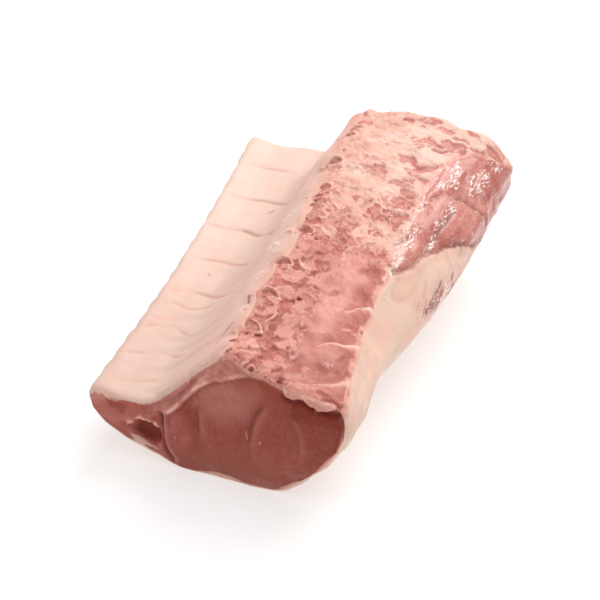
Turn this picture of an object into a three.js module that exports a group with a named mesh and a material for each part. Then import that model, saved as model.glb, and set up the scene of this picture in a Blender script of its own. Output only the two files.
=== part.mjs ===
// A whole rib-on pork loin (a rack of eight ribs) lying on its fat side: the thick eye muscle under the sawn
// backbone on the right, the rib sheet reaching out to the thin tail on the left, and a cut face at each end.
// Millimetres. +Z is up, +Y runs along the loin from near cut face to far one, +X from tail to back.
// The origin is under the middle of the bounding box, on the surface that the loin rests on.
import * as THREE from "three";

// Driving dimensions.
const length = 264; // between the two cut faces
const stationCount = 57; // steps along the loin between the rounded rims
const rimRadius = 4; // rounding where a cut face meets the skin
const faceRows = 4; // rows of each half of a cut face, between its edge and its middle line
const faceLift = 0.9; // of a cut face over its rim

// The outline of a section, clockwise seen from the near end, as named points [x, z] at the near and far cut
// faces. swell is added half way along, and steps is the number of faces from this point to the next.
const outline = {
  tailTip: { near: [-79, 38], far: [-84, 44], swell: [5, 1], steps: 2 },
  tailCrest: { near: [-75, 45.5], far: [-81, 56], swell: [5, 0], steps: 5 },
  sheetLow: { near: [-57, 43.5], far: [-64, 54], swell: [1, -1], steps: 4 },
  sheetFoot: { near: [-40, 46], far: [-46, 57], swell: [0, -1], steps: 4 },
  slopeLow: { near: [-19, 67], far: [-31, 64], swell: [0, 0], steps: 4 },
  slopeHigh: { near: [-6, 80], far: [-22, 80], swell: [0, 1], steps: 3 },
  ridge: { near: [7, 90], far: [-12, 93], swell: [2, 2], steps: 5 },
  sawnMiddle: { near: [23, 86.5], far: [8, 99], swell: [0, 1], steps: 5 },
  leanEdge: { near: [40, 78], far: [31, 101], swell: [1, -2], steps: 5 },
  leanTop: { near: [60, 75.5], far: [58, 97], swell: [-8, 0], steps: 4 },
  fatEdge: { near: [78, 72], far: [80, 90], swell: [-15, 3], steps: 4 },
  sideBulge: { near: [83, 58], far: [92, 71], swell: [-1, -4], steps: 3 },
  sideLow: { near: [79, 40], far: [86, 48], swell: [0, -4], steps: 4 },
  heel: { near: [59, 14], far: [62, 19], swell: [0, -3], steps: 4 },
  soleRight: { near: [37, -2], far: [36, -2], swell: [0, 0], steps: 5 },
  soleLeft: { near: [-18, -2], far: [-16, -2], swell: [0, 0], steps: 3 },
  tailRoot: { near: [-35, 4], far: [-38, 8], swell: [0, -1], steps: 3 },
  tailUnder: { near: [-56, 12], far: [-61, 16], swell: [0, -2], steps: 3 },
  tailHeel: { near: [-71, 23], far: [-77, 29], swell: [2, -1], steps: 2 },
};
const names = Object.keys(outline);
const place = Object.fromEntries(names.map((name, index) => [name, index]));

// The eight ribs fan out a little from the backbone to the edge of the tail.
const ribs = {
  atTail: { first: -108, pitch: 31.4 },
  atSpine: { first: -107, pitch: 34 },
  height: 1.5,
  endHeight: 1.4, // of the sawn rib ends in the tail's edge
  endLength: 15,
};
const vertebrae = { rise: 1.8, crag: 2.2, cragSize: 10, pitDepth: 3.6, pitLength: 8, pitWidth: 0.6 };
const scallops = { height: 3, crest: 0.8, offset: 0.4, arch: 6, lastAlong: 0.5, fade: 0.12 };
const seams = { depth: 2, width: 9, gap: 0.18, lengthwiseFrom: 0.5 }; // between the muscles at the far end
const fatStop = { top: 0.46, side: 0.68 }; // where the back fat ends, as shares along the loin
const fatFolds = { height: 1.6, size: 34 };
const waist = { along: 0.3, reach: 0.16, depth: 7 }; // the back draws in behind the near face

const clamp01 = (value) => THREE.MathUtils.clamp(value, 0, 1);
const mix = THREE.MathUtils.lerp;
const smooth = THREE.MathUtils.smoothstep;
const band = (value, low, high, fade) => smooth(value, low - fade, low) - smooth(value, high, high + fade);

// Seeded value noise in three dimensions, from -1 to 1.
function hash(i, j, k) {
  let h = Math.imul(i, 374761393) ^ Math.imul(j, 668265263) ^ Math.imul(k, 2147483647) ^ 20261124;
  h = Math.imul(h ^ (h >>> 13), 1274126177);
  return ((h ^ (h >>> 16)) >>> 0) / 2147483648 - 1;
}
function noise(x, y, z) {
  const cell = [x, y, z].map(Math.floor);
  const part = [x - cell[0], y - cell[1], z - cell[2]].map((f) => f * f * (3 - 2 * f));
  let sum = 0;
  for (let corner = 0; corner < 8; corner++) {
    const step = [corner & 1, (corner >> 1) & 1, corner >> 2];
    const weight = step.reduce((w, s, axis) => w * (s ? part[axis] : 1 - part[axis]), 1);
    sum += weight * hash(cell[0] + step[0], cell[1] + step[1], cell[2] + step[2]);
  }
  return sum;
}

// The smooth closed outline a share along the loin, 0 at the near face and 1 at the far one.
function outlineAt(along) {
  const points = names.map((name) => {
    const { near, far, swell } = outline[name];
    const at = (axis) => mix(near[axis], far[axis], along) + swell[axis] * Math.sin(Math.PI * along);
    return new THREE.Vector3(at(0), 0, at(1));
  });
  return new THREE.CatmullRomCurve3(points, true, "centripetal");
}

// Where the outline is sampled: 0 at tailTip, 1 at tailCrest and so on, in each point's own number of steps.
const samples = names.flatMap((name, index) =>
  Array.from({ length: outline[name].steps }, (_, step) => index + step / outline[name].steps),
);

// Ribs counted along the loin, a whole number on the crown of each; across is 0 at the tail, 1 at the spine.
function ribTurn(across, y) {
  const first = mix(ribs.atTail.first, ribs.atSpine.first, across);
  const pitch = mix(ribs.atTail.pitch, ribs.atSpine.pitch, across);
  return (y - first) / pitch;
}
const offCrown = (turn) => (turn - Math.round(turn)) * ribs.atSpine.pitch;

// Rib sheet: a soft ridge over each rib.
function ribRelief(around, y) {
  const across = clamp01((around - place.tailCrest) / (place.ridge - place.tailCrest));
  const wave = Math.cos(2 * Math.PI * ribTurn(across, y));
  return ribs.height * wave * band(around, place.tailCrest + 0.6, place.slopeHigh - 0.6, 1);
}

// Sawn backbone: a boss for each vertebra with a pit at its rib joint, broken up by crags.
function spineRelief(around, x, y, z) {
  const offset = offCrown(ribTurn(1, y));
  const aside = around - place.ridge + 0.25;
  const fromPit = Math.hypot(offset / vertebrae.pitLength, aside / vertebrae.pitWidth);
  const pit = vertebrae.pitDepth * (1 - smooth(fromPit, 0, 1));
  const boss = -vertebrae.rise * Math.cos((2 * Math.PI * offset) / ribs.atSpine.pitch);
  const crag = vertebrae.crag * noise(x / vertebrae.cragSize, y / vertebrae.cragSize, z / vertebrae.cragSize);
  return (boss + crag) * band(around, place.ridge - 0.2, place.leanEdge, 0.8) - pit;
}

// Lean beside the feather bones: arched scallops, each with a lip over the next one towards the near end.
function scallopRelief(around, along, y) {
  const aside = around - place.leanTop;
  const turn = ribTurn(1, y + scallops.arch * aside * aside) + scallops.offset;
  const rise = turn - Math.floor(turn);
  const lip = Math.min(rise / scallops.crest, (1 - rise) / (1 - scallops.crest));
  const there = band(around, place.leanEdge + 0.2, place.fatEdge - 0.2, 0.4);
  const fade = 1 - smooth(along, scallops.lastAlong, scallops.lastAlong + scallops.fade);
  return scallops.height * (lip - 0.5) * there * fade;
}

// Far end: long muscles parted by grooves, one of them where the back fat stops.
function seamRelief(around, along) {
  const spacing = 20; // between named points here
  const groove = (distance) => seams.depth * (1 - smooth(Math.abs(distance), 0, seams.width));
  const down = (around - place.leanTop) / (place.sideBulge - place.leanTop); // 0 on top, 1 on the side
  const stop = mix(fatStop.top, fatStop.side, down);
  const onShoulder = band(around, place.leanTop + 0.5, place.sideBulge + 0.2, 0.4);
  const across = groove((along - stop) * length) + groove((along - stop - seams.gap) * length);
  const lengthwise = groove((around - place.leanTop) * spacing) * smooth(along, seams.lengthwiseFrom, 0.6);
  return -across * onShoulder - lengthwise;
}

// Back fat and the underside: long, low folds, none of them where the loin rests.
function fatRelief(around, x, y, z) {
  const there = band(around, place.sideBulge, names.length, 0.5) * smooth(z, 1, 14);
  return fatFolds.height * noise(x / fatFolds.size, y / fatFolds.size, z / fatFolds.size) * there;
}

// The back is a little narrower just behind the near cut face.
function waistRelief(around, along) {
  const there = Math.exp(-(((along - waist.along) / waist.reach) ** 2));
  return -waist.depth * there * band(around, place.fatEdge + 0.5, place.heel, 0.8);
}

// Sawn ends of the ribs, as low bosses along the edge of the tail.
function ribEndRelief(around, y) {
  const edge = around > names.length / 2 ? around - names.length : around;
  const offset = Math.abs(offCrown(ribTurn(0, y)));
  const boss = 1 - smooth(offset, 0.25 * ribs.endLength, 0.5 * ribs.endLength);
  return ribs.endHeight * boss * band(edge, -0.4, 0.4, 0.5);
}

// A cut face bulges muscle by muscle and sinks at the seams between them; the near tail has a hollow.
const muscles = [
  { centre: [-20, 30], half: [17, 24], swell: 2.6 },
  { centre: [7, 44], half: [22, 42], swell: 3.6 },
  { centre: [33, 40], half: [18, 38], swell: 3.2 },
  { centre: [60, 43], half: [22, 33], swell: 2.8 },
  { centre: [-62, 36], half: [17, 11], swell: 2.4 },
];
const tailHollow = { centre: [-43, 22], half: [10, 9], depth: 6 };
function faceRelief(x, z, isNear) {
  const dome = ({ centre, half }) => {
    const away = ((x - centre[0]) / half[0]) ** 2 + ((z - centre[1]) / half[1]) ** 2;
    return Math.sqrt(clamp01(1 - away));
  };
  const bulge = Math.max(...muscles.map((muscle) => muscle.swell * dome(muscle)));
  return bulge - (isNear ? tailHollow.depth * dome(tailHollow) : 0);
}

// One ring of skin points at a share along the loin, drawn in by inset towards the inside of the section.
function ringAt(along, inset) {
  const curve = outlineAt(along);
  const y = (along - 0.5) * length;
  return samples.map((around) => {
    const share = around / names.length;
    const { x, z } = curve.getPoint(share);
    const tangent = curve.getTangent(share);
    const outward = new THREE.Vector3(-tangent.z, 0, tangent.x);
    const relief =
      ribRelief(around, y) +
      spineRelief(around, x, y, z) +
      scallopRelief(around, along, y) +
      seamRelief(around, along) +
      fatRelief(around, x, y, z) +
      waistRelief(around, along) +
      ribEndRelief(around, y);
    const point = new THREE.Vector3(x, y, z).addScaledVector(outward, relief - inset);
    point.z = Math.max(point.z, 0); // the weight of the meat presses its underside flat
    return point;
  });
}

const vertices = [];
const triangles = [];
const addRow = (points) => points.map((point) => vertices.push(point) - 1);

// Joins two rows of vertices that run the same way, whatever their counts. Rows may share their end vertices.
function stitch(lower, upper) {
  for (let i = 0, j = 0; i < lower.length - 1 || j < upper.length - 1; ) {
    const nextLower = (i + 1) / (lower.length - 1);
    const nextUpper = (j + 1) / (upper.length - 1);
    const stepLower = j === upper.length - 1 || (i < lower.length - 1 && nextLower <= nextUpper);
    const triangle = [lower[i], stepLower ? lower[i + 1] : upper[j + 1], upper[j]];
    if (new Set(triangle).size === 3) triangles.push(triangle);
    if (stepLower) i++;
    else j++;
  }
}

// The skin: rings from face to face, rounded at both rims.
const rim = [60, 30].map(THREE.MathUtils.degToRad).map((angle) => ({
  along: (rimRadius * (1 - Math.sin(angle))) / length,
  inset: rimRadius * (1 - Math.cos(angle)),
}));
const straight = Array.from({ length: stationCount + 1 }, (_, step) => ({
  along: mix(rimRadius / length, 1 - rimRadius / length, step / stationCount),
  inset: 0,
}));
const farRim = rim.toReversed().map(({ along, inset }) => ({ along: 1 - along, inset }));
const stations = [...rim, ...straight, ...farRim];
const rings = stations.map(({ along, inset }) => addRow(ringAt(along, inset)));
for (let s = 0; s < rings.length - 1; s++) {
  const closed = (ring) => [...ring, ring[0]];
  stitch(closed(rings[s]), closed(rings[s + 1]));
}

// A cut face: rows from the lower edge to the middle line and on to the upper edge, all from tail to back.
function addFace(ring, isNear) {
  const turnIndex = samples.indexOf(place.sideBulge);
  const upperEdge = ring.slice(0, turnIndex + 1);
  const lowerEdge = [ring[0], ...ring.slice(turnIndex).reverse()];
  const at = (row, share) => {
    const position = share * (row.length - 1);
    const index = Math.min(Math.floor(position), row.length - 2);
    return vertices[row[index]].clone().lerp(vertices[row[index + 1]], position - index);
  };
  const side = isNear ? -1 : 1;
  const innerRow = (edge, depth) => {
    const inner = edge.slice(1, -1).map((vertex, index) => {
      const share = (index + 1) / (edge.length - 1);
      const middle = at(upperEdge, share).lerp(at(lowerEdge, share), 0.5);
      const point = vertices[vertex].clone().lerp(middle, depth);
      point.y += side * (faceLift + faceRelief(point.x, point.z, isNear));
      return point;
    });
    return [edge[0], ...addRow(inner), edge[edge.length - 1]];
  };
  const depths = Array.from({ length: faceRows }, (_, row) => (row + 1) / (faceRows + 1));
  const rows = [
    lowerEdge,
    ...depths.map((depth) => innerRow(lowerEdge, depth)),
    innerRow(upperEdge, 1),
    ...depths.reverse().map((depth) => innerRow(upperEdge, depth)),
    upperEdge,
  ];
  for (let row = 0; row < rows.length - 1; row++) {
    if (isNear) stitch(rows[row], rows[row + 1]);
    else stitch(rows[row + 1], rows[row]);
  }
}
addFace(rings[0], true);
addFace(rings[rings.length - 1], false);

// The solid, moved so that its bounding box is centred over the origin and stands on z = 0.
function loinGeometry() {
  const geometry = new THREE.BufferGeometry().setFromPoints(vertices);
  geometry.setIndex(triangles.flat());
  geometry.computeBoundingBox();
  const { min, max } = geometry.boundingBox;
  geometry.translate(-(min.x + max.x) / 2, -(min.y + max.y) / 2, -min.z);
  geometry.computeVertexNormals();
  return geometry;
}

const rawPork = new THREE.MeshStandardMaterial({ color: 0xdb9c8d, roughness: 0.42, metalness: 0 });
const loin = new THREE.Mesh(loinGeometry(), rawPork);
loin.name = "pork_loin";

const part = new THREE.Group();
part.add(loin);

export default part;
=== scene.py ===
import math
import bpy
import numpy as np
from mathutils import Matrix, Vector


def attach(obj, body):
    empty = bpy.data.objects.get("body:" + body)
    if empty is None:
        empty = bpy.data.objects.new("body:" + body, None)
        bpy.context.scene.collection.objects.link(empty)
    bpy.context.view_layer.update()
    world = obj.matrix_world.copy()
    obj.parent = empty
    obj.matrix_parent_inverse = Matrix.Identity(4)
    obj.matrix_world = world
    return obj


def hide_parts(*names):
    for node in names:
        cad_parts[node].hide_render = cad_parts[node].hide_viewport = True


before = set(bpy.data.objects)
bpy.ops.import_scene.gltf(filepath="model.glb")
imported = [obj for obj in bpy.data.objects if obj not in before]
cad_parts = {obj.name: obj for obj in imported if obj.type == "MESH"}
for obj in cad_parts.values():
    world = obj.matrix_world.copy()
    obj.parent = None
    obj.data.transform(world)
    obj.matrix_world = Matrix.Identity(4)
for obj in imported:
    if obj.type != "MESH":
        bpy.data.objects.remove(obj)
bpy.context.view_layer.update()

mm = 0.001
loinLength = 264  # mm between the two cut faces
halfLong = loinLength / 2
print("frame loaded")

view = {
    "aim": (-0.0022, 0, 0.0379),
    "turned": 21.2,  # degrees round from the loin's length
    "above": 36,  # degrees above it
    "away": 2.0,
    "lens": 200.4,
    "sensor": 36,
}

lamps = {
    # turned, above, away, size, watts, colour
    "windowBehind": (165, 50, 1.6, 1.3, 16.5, (1.0, 0.97, 0.94)),
    "roof": (40, 80, 1.5, 1.6, 8.3, (1.0, 0.98, 0.96)),
    "rightSide": (80, 30, 1.6, 0.9, 1.2, (1.0, 0.97, 0.94)),
    "leftSide": (-70, 40, 1.6, 1.2, 2, (1.0, 0.98, 0.97)),
    "sparkle": (188, 42, 1.6, 0.1, 1.2, (1.0, 1.0, 1.0)),
}
lampAim = (0, 0, 0.05)
roomLight = 0.41


def directionFrom(turned, above):
    turned, above = math.radians(turned), math.radians(above)
    return Vector((math.sin(turned) * math.cos(above), -math.cos(turned) * math.cos(above), math.sin(above)))


def lookAt(thing, aim):
    away = thing.location - Vector(aim)
    thing.rotation_euler = away.to_track_quat("Z", "Y").to_euler()


def addCamera():
    away = view["away"] * directionFrom(view["turned"], view["above"])
    bpy.ops.object.camera_add(location=Vector(view["aim"]) + away)
    camera = bpy.context.object
    camera.data.lens = view["lens"]
    camera.data.sensor_width = view["sensor"]
    lookAt(camera, view["aim"])
    bpy.context.scene.camera = camera


def addLamps():
    for name, (turned, above, away, size, watts, tint) in lamps.items():
        bpy.ops.object.light_add(type="AREA", location=away * directionFrom(turned, above))
        lamp = bpy.context.object
        lamp.name = name
        lamp.data.shape = "DISK"
        lamp.data.size = size
        lamp.data.energy = watts
        lamp.data.color = tint
        lookAt(lamp, lampAim)
    world = bpy.data.worlds.new("room")
    bpy.context.scene.world = world
    world.use_nodes = True
    world.node_tree.nodes["Background"].inputs["Color"].default_value = (1, 1, 1, 1)
    world.node_tree.nodes["Background"].inputs["Strength"].default_value = roomLight
    bpy.context.scene.view_settings.view_transform = "Standard"
    bpy.context.scene.view_settings.look = "None"


class Wire:  # one socket of a material, so that shader maths reads as maths
    def __init__(self, material, socket):
        self.material = material
        self.socket = socket

    def maths(self, operation, other, clamp=False):
        settings = {"operation": operation, "use_clamp": clamp}
        return self.material.node("ShaderNodeMath", settings, {0: self, 1: other})

    def __add__(self, other):
        return self.maths("ADD", other)

    def __sub__(self, other):
        return self.maths("SUBTRACT", other)

    def __mul__(self, other):
        return self.maths("MULTIPLY", other)

    def __rsub__(self, other):
        return self * -1 + other

    __radd__ = __add__
    __rmul__ = __mul__

    def clip(self):
        return self.maths("MULTIPLY", 1, clamp=True)

    def ramp(self, low, high):
        inputs = {"Value": self, "From Min": low, "From Max": high}
        return self.material.node("ShaderNodeMapRange", {"interpolation_type": "SMOOTHSTEP"}, inputs)


class Finish:  # a node material with its Principled shader
    def __init__(self, name):
        self.made = bpy.data.materials.new(name)
        self.made.use_nodes = True
        self.nodes = self.made.node_tree.nodes
        self.links = self.made.node_tree.links
        self.shader = self.nodes["Principled BSDF"]

    def feed(self, socket, value):
        if isinstance(value, Wire):
            self.links.new(value.socket, socket)
        else:
            socket.default_value = value

    def node(self, kind, settings=None, inputs=None, output=0):
        made = self.nodes.new(kind)
        for name, value in (settings or {}).items():
            setattr(made, name, value)
        for name, value in (inputs or {}).items():
            self.feed(made.inputs[name], value)
        return Wire(self, made.outputs[output])

    def mix(self, factor, first, second):
        settings = {"data_type": "RGBA", "clamp_factor": True}
        return self.node("ShaderNodeMix", settings, {0: factor, 6: first, 7: second}, output=2)

    def place(self):
        return self.node("ShaderNodeTexCoord", output="Object")

    def value(self, name):
        return self.node("ShaderNodeAttribute", {"attribute_name": name}, output="Fac")

    def noise(self, place, size, detail=3, roughness=0.5, output=0):
        inputs = {"Vector": place, "Scale": 1 / (size * mm), "Detail": detail, "Roughness": roughness}
        return self.node("ShaderNodeTexNoise", {}, inputs, output)

    def stretched(self, place, lengths, turned=0):  # drawn out along each axis, turned about the upright
        inputs = {"Vector": place, "Scale": lengths, "Rotation": (0, 0, math.radians(turned))}
        return self.node("ShaderNodeMapping", {"vector_type": "TEXTURE"}, inputs)

    def bent(self, place, size, amount):  # the place moved about by noise
        inputs = {0: self.noise(place, size, 2, output=1), 1: (amount * mm,) * 3, 2: place}
        return self.node("ShaderNodeVectorMath", {"operation": "MULTIPLY_ADD"}, inputs)

    def cells(self, place, size, feature, output):
        inputs = {"Vector": place, "Scale": 1 / (size * mm)}
        return self.node("ShaderNodeTexVoronoi", {"feature": feature}, inputs, output)

    def set(self, **inputs):
        for name, value in inputs.items():
            self.feed(self.shader.inputs[name.replace("_", " ")], value)


def colour(red, green, blue):  # a colour as it is read on a screen, 0 to 255, made linear for the shader
    shares = [channel / 255 for channel in (red, green, blue)]
    return (*[share / 12.92 if share < 0.04045 else ((share + 0.055) / 1.055) ** 2.4 for share in shares], 1)


paleFloor = {
    "size": 12,
    "tones": (colour(200, 200, 200), colour(196, 196, 196)),
    "patches": 400,  # mm
    "roughness": 0.8,
    "glow": 0.5,
}


def addFloor():
    bpy.ops.mesh.primitive_plane_add(size=paleFloor["size"])
    floor = bpy.context.object
    floor.name = "floor"
    finish = Finish("paleFloor")
    tone = finish.mix(finish.noise(finish.place(), paleFloor["patches"], 2), *paleFloor["tones"])
    finish.set(Base_Color=tone, Roughness=paleFloor["roughness"])
    finish.set(Emission_Color=(1, 1, 1, 1), Emission_Strength=paleFloor["glow"])
    floor.data.materials.append(finish.made)


# Number patterns, worked out for many points at once. Sizes are in mm.
def ramp(value, low, high):  # eased from 0 at low to 1 at high, and high may be the lower of the two
    share = np.clip((value - low) / (high - low), 0, 1)
    return share * share * (3 - 2 * share)


def between(value, a, b, c, d):  # up from a to b, down from c to d
    return ramp(value, a, b) * ramp(value, d, c)


def hill(value, width):  # 1 where the value is 0, falling off softly on both sides
    return np.exp(-((value / width) ** 2))


def past(value, length):  # 0 up to 0, then 1 dying away
    return np.where(value > 0, np.exp(-value / length), 0)


def step(value, low, high, length):  # eased up over an edge, then dying away
    return ramp(value, low, high) * np.exp(-np.maximum(value, 0) / length)


def cellNumber(i, j, k, seed):  # a fixed random number from 0 to 1 for each whole-number cell
    n = (i * 374761393 + j * 668265263 + k * 1274126177 + seed * 974634777) & 0xFFFFFFFF
    n = ((n ^ (n >> 13)) * 1274126177) & 0xFFFFFFFF
    n = ((n ^ (n >> 15)) * 2246822519) & 0xFFFFFFFF
    return ((n ^ (n >> 16)) & 0xFFFFFF) / 0xFFFFFF


signs = [(a, b) for a in (1, -1) for b in (1, -1)]
slopes = np.array([(a, b, 0) for a, b in signs] + [(a, 0, b) for a, b in signs]
                  + [(0, a, b) for a, b in signs], float)


def noise(points, size, seed):  # smooth noise from -1 to 1; size is one number, or one for each axis
    scaled = points / np.asarray(size, float)
    cell = np.floor(scaled).astype(np.int64)
    part = scaled - cell
    eased = part**3 * (part * (part * 6 - 15) + 10)
    total = np.zeros(len(points))
    for corner in np.ndindex(2, 2, 2):
        weight = np.prod(np.where(corner, eased, 1 - eased), axis=1)
        slope = slopes[(cellNumber(*(cell + np.array(corner)).T, seed) * 11.999).astype(int)]
        total += weight * np.sum(slope * (part - corner), axis=1)
    return np.clip(total * 1.5, -1, 1)


def layered(points, size, seed, layers=3, fade=0.5):
    shares = [fade**layer for layer in range(layers)]
    total = sum(share * noise(points, np.asarray(size, float) / 2**layer, seed + layer)
                for layer, share in enumerate(shares))
    return total / sum(shares)


def cells(points, size, seed):  # how near the next patch is, and a random number for each patch
    scaled = points / np.asarray(size, float)
    cell = np.floor(scaled).astype(np.int64)
    first, second = np.full((2, len(points)), 9.0)
    tone = np.zeros(len(points))
    for corner in np.ndindex(3, 3, 3):
        here = cell + np.array(corner) - 1
        middle = here + 0.05 + 0.9 * np.stack([cellNumber(*here.T, seed + axis) for axis in range(3)], 1)
        away = np.linalg.norm(scaled - middle, axis=1)
        nearer = away < first
        second = np.where(nearer, first, np.minimum(second, away))
        tone = np.where(nearer, cellNumber(*here.T, seed + 7), tone)
        first = np.where(nearer, away, first)
    return second - first, tone


def rounded(path):  # the same path with its corners cut off
    path = np.asarray(path, float)
    for turn in range(2):
        cut = np.stack([path[:-1] * 0.75 + path[1:] * 0.25, path[:-1] * 0.25 + path[1:] * 0.75], 1)
        path = np.vstack([path[:1], cut.reshape(-1, 2)[1:-1], path[-1:]])
    return path


pathMargin = 24  # mm past a path, where nothing reaches


def toPath(a, b, path):  # how far each point is from a path (below 0 on its right), and its share along it
    path = rounded(path)
    low, high = path.min(0) - pathMargin, path.max(0) + pathMargin
    best, side, share = np.full(len(a), 99.0), np.ones(len(a)), np.zeros(len(a))
    close = np.flatnonzero((a > low[0]) & (a < high[0]) & (b > low[1]) & (b < high[1]))
    p, q = a[close], b[close]
    lengths = np.linalg.norm(np.diff(path, axis=0), axis=1)
    for index, (start, end) in enumerate(zip(path[:-1], path[1:])):
        line = end - start
        t = np.clip(((p - start[0]) * line[0] + (q - start[1]) * line[1]) / (line @ line), 0, 1)
        away = np.hypot(p - start[0] - t * line[0], q - start[1] - t * line[1])
        nearer = away < best[close]
        turned = np.sign(line[0] * (q - start[1]) - line[1] * (p - start[0]))
        along = (lengths[:index].sum() + t * lengths[index]) / lengths.sum()
        best[close] = np.where(nearer, away, best[close])
        side[close] = np.where(nearer, turned, side[close])
        share[close] = np.where(nearer, along, share[close])
    return best * side, share


def turnedBy(a, b, degrees):
    sine, cosine = math.sin(math.radians(degrees)), math.cos(math.radians(degrees))
    return a * cosine + b * sine, b * cosine - a * sine


def fromSpot(a, b, spot):  # 0 at the middle of an oval, 1 at its edge; a spot is a, b, two halves and a turn
    u, v = turnedBy(a - spot[0], b - spot[1], *spot[4:] or (0,))
    return np.hypot(u / spot[2], v / spot[3])


def blot(a, b, spot, fray, inner, outer):  # 1 inside a spot and 0 outside it, with a frayed edge
    return ramp(fromSpot(a, b, spot) + fray, outer, inner)


# The section as named points (x, z) at the near and far cut faces, with a swell half way along, in mm.
outline = {
    "tailTip": ((-79, 38), (-84, 44), (5, 1)),
    "tailCrest": ((-75, 45.5), (-81, 56), (5, 0)),
    "sheetLow": ((-57, 43.5), (-64, 54), (1, -1)),
    "sheetFoot": ((-40, 46), (-46, 57), (0, -1)),
    "slopeLow": ((-19, 67), (-31, 64), (0, 0)),
    "slopeHigh": ((-6, 80), (-22, 80), (0, 1)),
    "ridge": ((7, 90), (-12, 93), (2, 2)),
    "sawnMiddle": ((23, 86.5), (8, 99), (0, 1)),
    "leanEdge": ((40, 78), (31, 101), (1, -2)),
    "leanTop": ((60, 75.5), (58, 97), (-8, 0)),
    "fatEdge": ((78, 72), (80, 90), (-15, 3)),
    "sideBulge": ((83, 58), (92, 71), (-1, -4)),
    "sideLow": ((79, 40), (86, 48), (0, -4)),
    "heel": ((59, 14), (62, 19), (0, -3)),
    "soleRight": ((37, 0), (36, 0), (0, 0)),
    "soleLeft": ((-18, 0), (-16, 0), (0, 0)),
    "tailRoot": ((-35, 4), (-38, 8), (0, -1)),
    "tailUnder": ((-56, 12), (-61, 16), (0, -2)),
    "tailHeel": ((-71, 23), (-77, 29), (2, -1)),
}
outlineShift = -3.9
at = {name: index for index, name in enumerate(outline)}
outlineSize = len(outline)


def skinPlace(points):  # the nearest named point (0 is tailTip), mm round the skin from the ridge, mm below
    along = np.clip(points[:, 1] / loinLength + 0.5, 0, 1)[:, None]
    bulge = np.sin(math.pi * along)
    corners = [np.array(near) * (1 - along) + np.array(far) * along + np.array(swell) * bulge
               + (outlineShift, 0) for near, far, swell in outline.values()]
    flat = points[:, [0, 2]]
    best = np.full(len(points), 1e9)
    around, reach, walked = np.zeros((3, len(points)))
    for index, start in enumerate(corners):
        if index == at["ridge"]:
            atRidge = walked.copy()
        line = corners[(index + 1) % outlineSize] - start
        length = np.linalg.norm(line, axis=1)
        t = np.clip(np.sum((flat - start) * line, 1) / length**2, 0, 1)
        away = np.linalg.norm(flat - start - line * t[:, None], axis=1)
        nearer = away < best
        best = np.where(nearer, away, best)
        around = np.where(nearer, index + t, around)
        reach = np.where(nearer, walked + t * length, reach)
        walked += length
    return around, reach - atRidge, best


def vectors(parts, what):
    flat = np.zeros(len(parts) * 3)
    parts.foreach_get(what, flat)
    return flat.reshape(-1, 3)


def selectOnly(thing):
    bpy.ops.object.select_all(action="DESELECT")
    thing.select_set(True)
    bpy.context.view_layer.objects.active = thing
    for parts in (thing.data.vertices, thing.data.edges, thing.data.polygons):
        parts.foreach_set("select", np.zeros(len(parts), bool))


def cutFaces(thing, chosen, cuts):
    selectOnly(thing)
    thing.data.polygons.foreach_set("select", chosen)
    bpy.ops.object.mode_set(mode="EDIT")
    bpy.ops.mesh.select_mode(type="FACE")
    bpy.ops.mesh.subdivide(number_cuts=cuts, smoothness=0)
    bpy.ops.mesh.select_all(action="DESELECT")
    bpy.ops.object.mode_set(mode="OBJECT")


def editAll(thing, operator, **settings):
    selectOnly(thing)
    bpy.ops.object.mode_set(mode="EDIT")
    bpy.ops.mesh.select_all(action="SELECT")
    operator(**settings)
    bpy.ops.object.mode_set(mode="OBJECT")


def smooth(thing, rounds, strength, weights=None):
    change = thing.modifiers.new("smooth", "SMOOTH")
    change.iterations = rounds
    change.factor = strength
    if weights is not None:
        group = thing.vertex_groups.new(name="share")
        for tenth in range(1, 11):
            chosen = np.flatnonzero(np.round(weights * 10) == tenth)
            group.add(chosen.tolist(), tenth / 10, "REPLACE")
        change.vertex_group = "share"
    bpy.ops.object.modifier_apply(modifier=change.name)
    thing.vertex_groups.clear()


meshDetail = {
    "fineCuts": 2,  # more cuts of each edge where the surface is busy
    "mediumCuts": 1,
    "faceRim": 13,  # mm in from the skin, on a cut face
    "tailTo": -30,  # mm, the right edge of the tail
    "shoulderFrom": -25,  # mm along the loin
    "slopeTo": 45,
    "fineRounds": 14,  # rounds of smoothing that take the facets off
    "coarseRounds": 8,
    "slopeRounds": 50,
    "faceShare": 0.6,  # how much of the fine smoothing a cut face gets
    "mostFaces": 196000,
}


def chooseDetail(loin):
    centres = vectors(loin.data.polygons, "center") / mm
    x, y = centres.T[:2]
    around, _, depth = skinPlace(centres)
    onFace = np.abs(y) > halfLong
    nearFace = onFace & (y < 0)
    shoulder = y > meshDetail["shoulderFrom"]
    rim = (depth < meshDetail["faceRim"]) | (x < meshDetail["tailTo"])
    fine = (around > at["ridge"] - 0.4) & (around < at["fatEdge"] - 0.3)
    fine |= (around > at["slopeLow"]) & (around < at["ridge"]) & (y < meshDetail["slopeTo"])
    fine |= shoulder & (around > at["fatEdge"] - 0.4) & (around < at["sideBulge"] + 0.6)
    fine = (fine & ~onFace) | (nearFace & rim)
    medium = (around < at["sideBulge"]) | (shoulder & (around < at["sideLow"] + 0.5))
    medium |= around > outlineSize - 0.7
    medium = (medium & ~onFace) | nearFace | (onFace & rim)
    return fine, medium & ~fine


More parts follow.
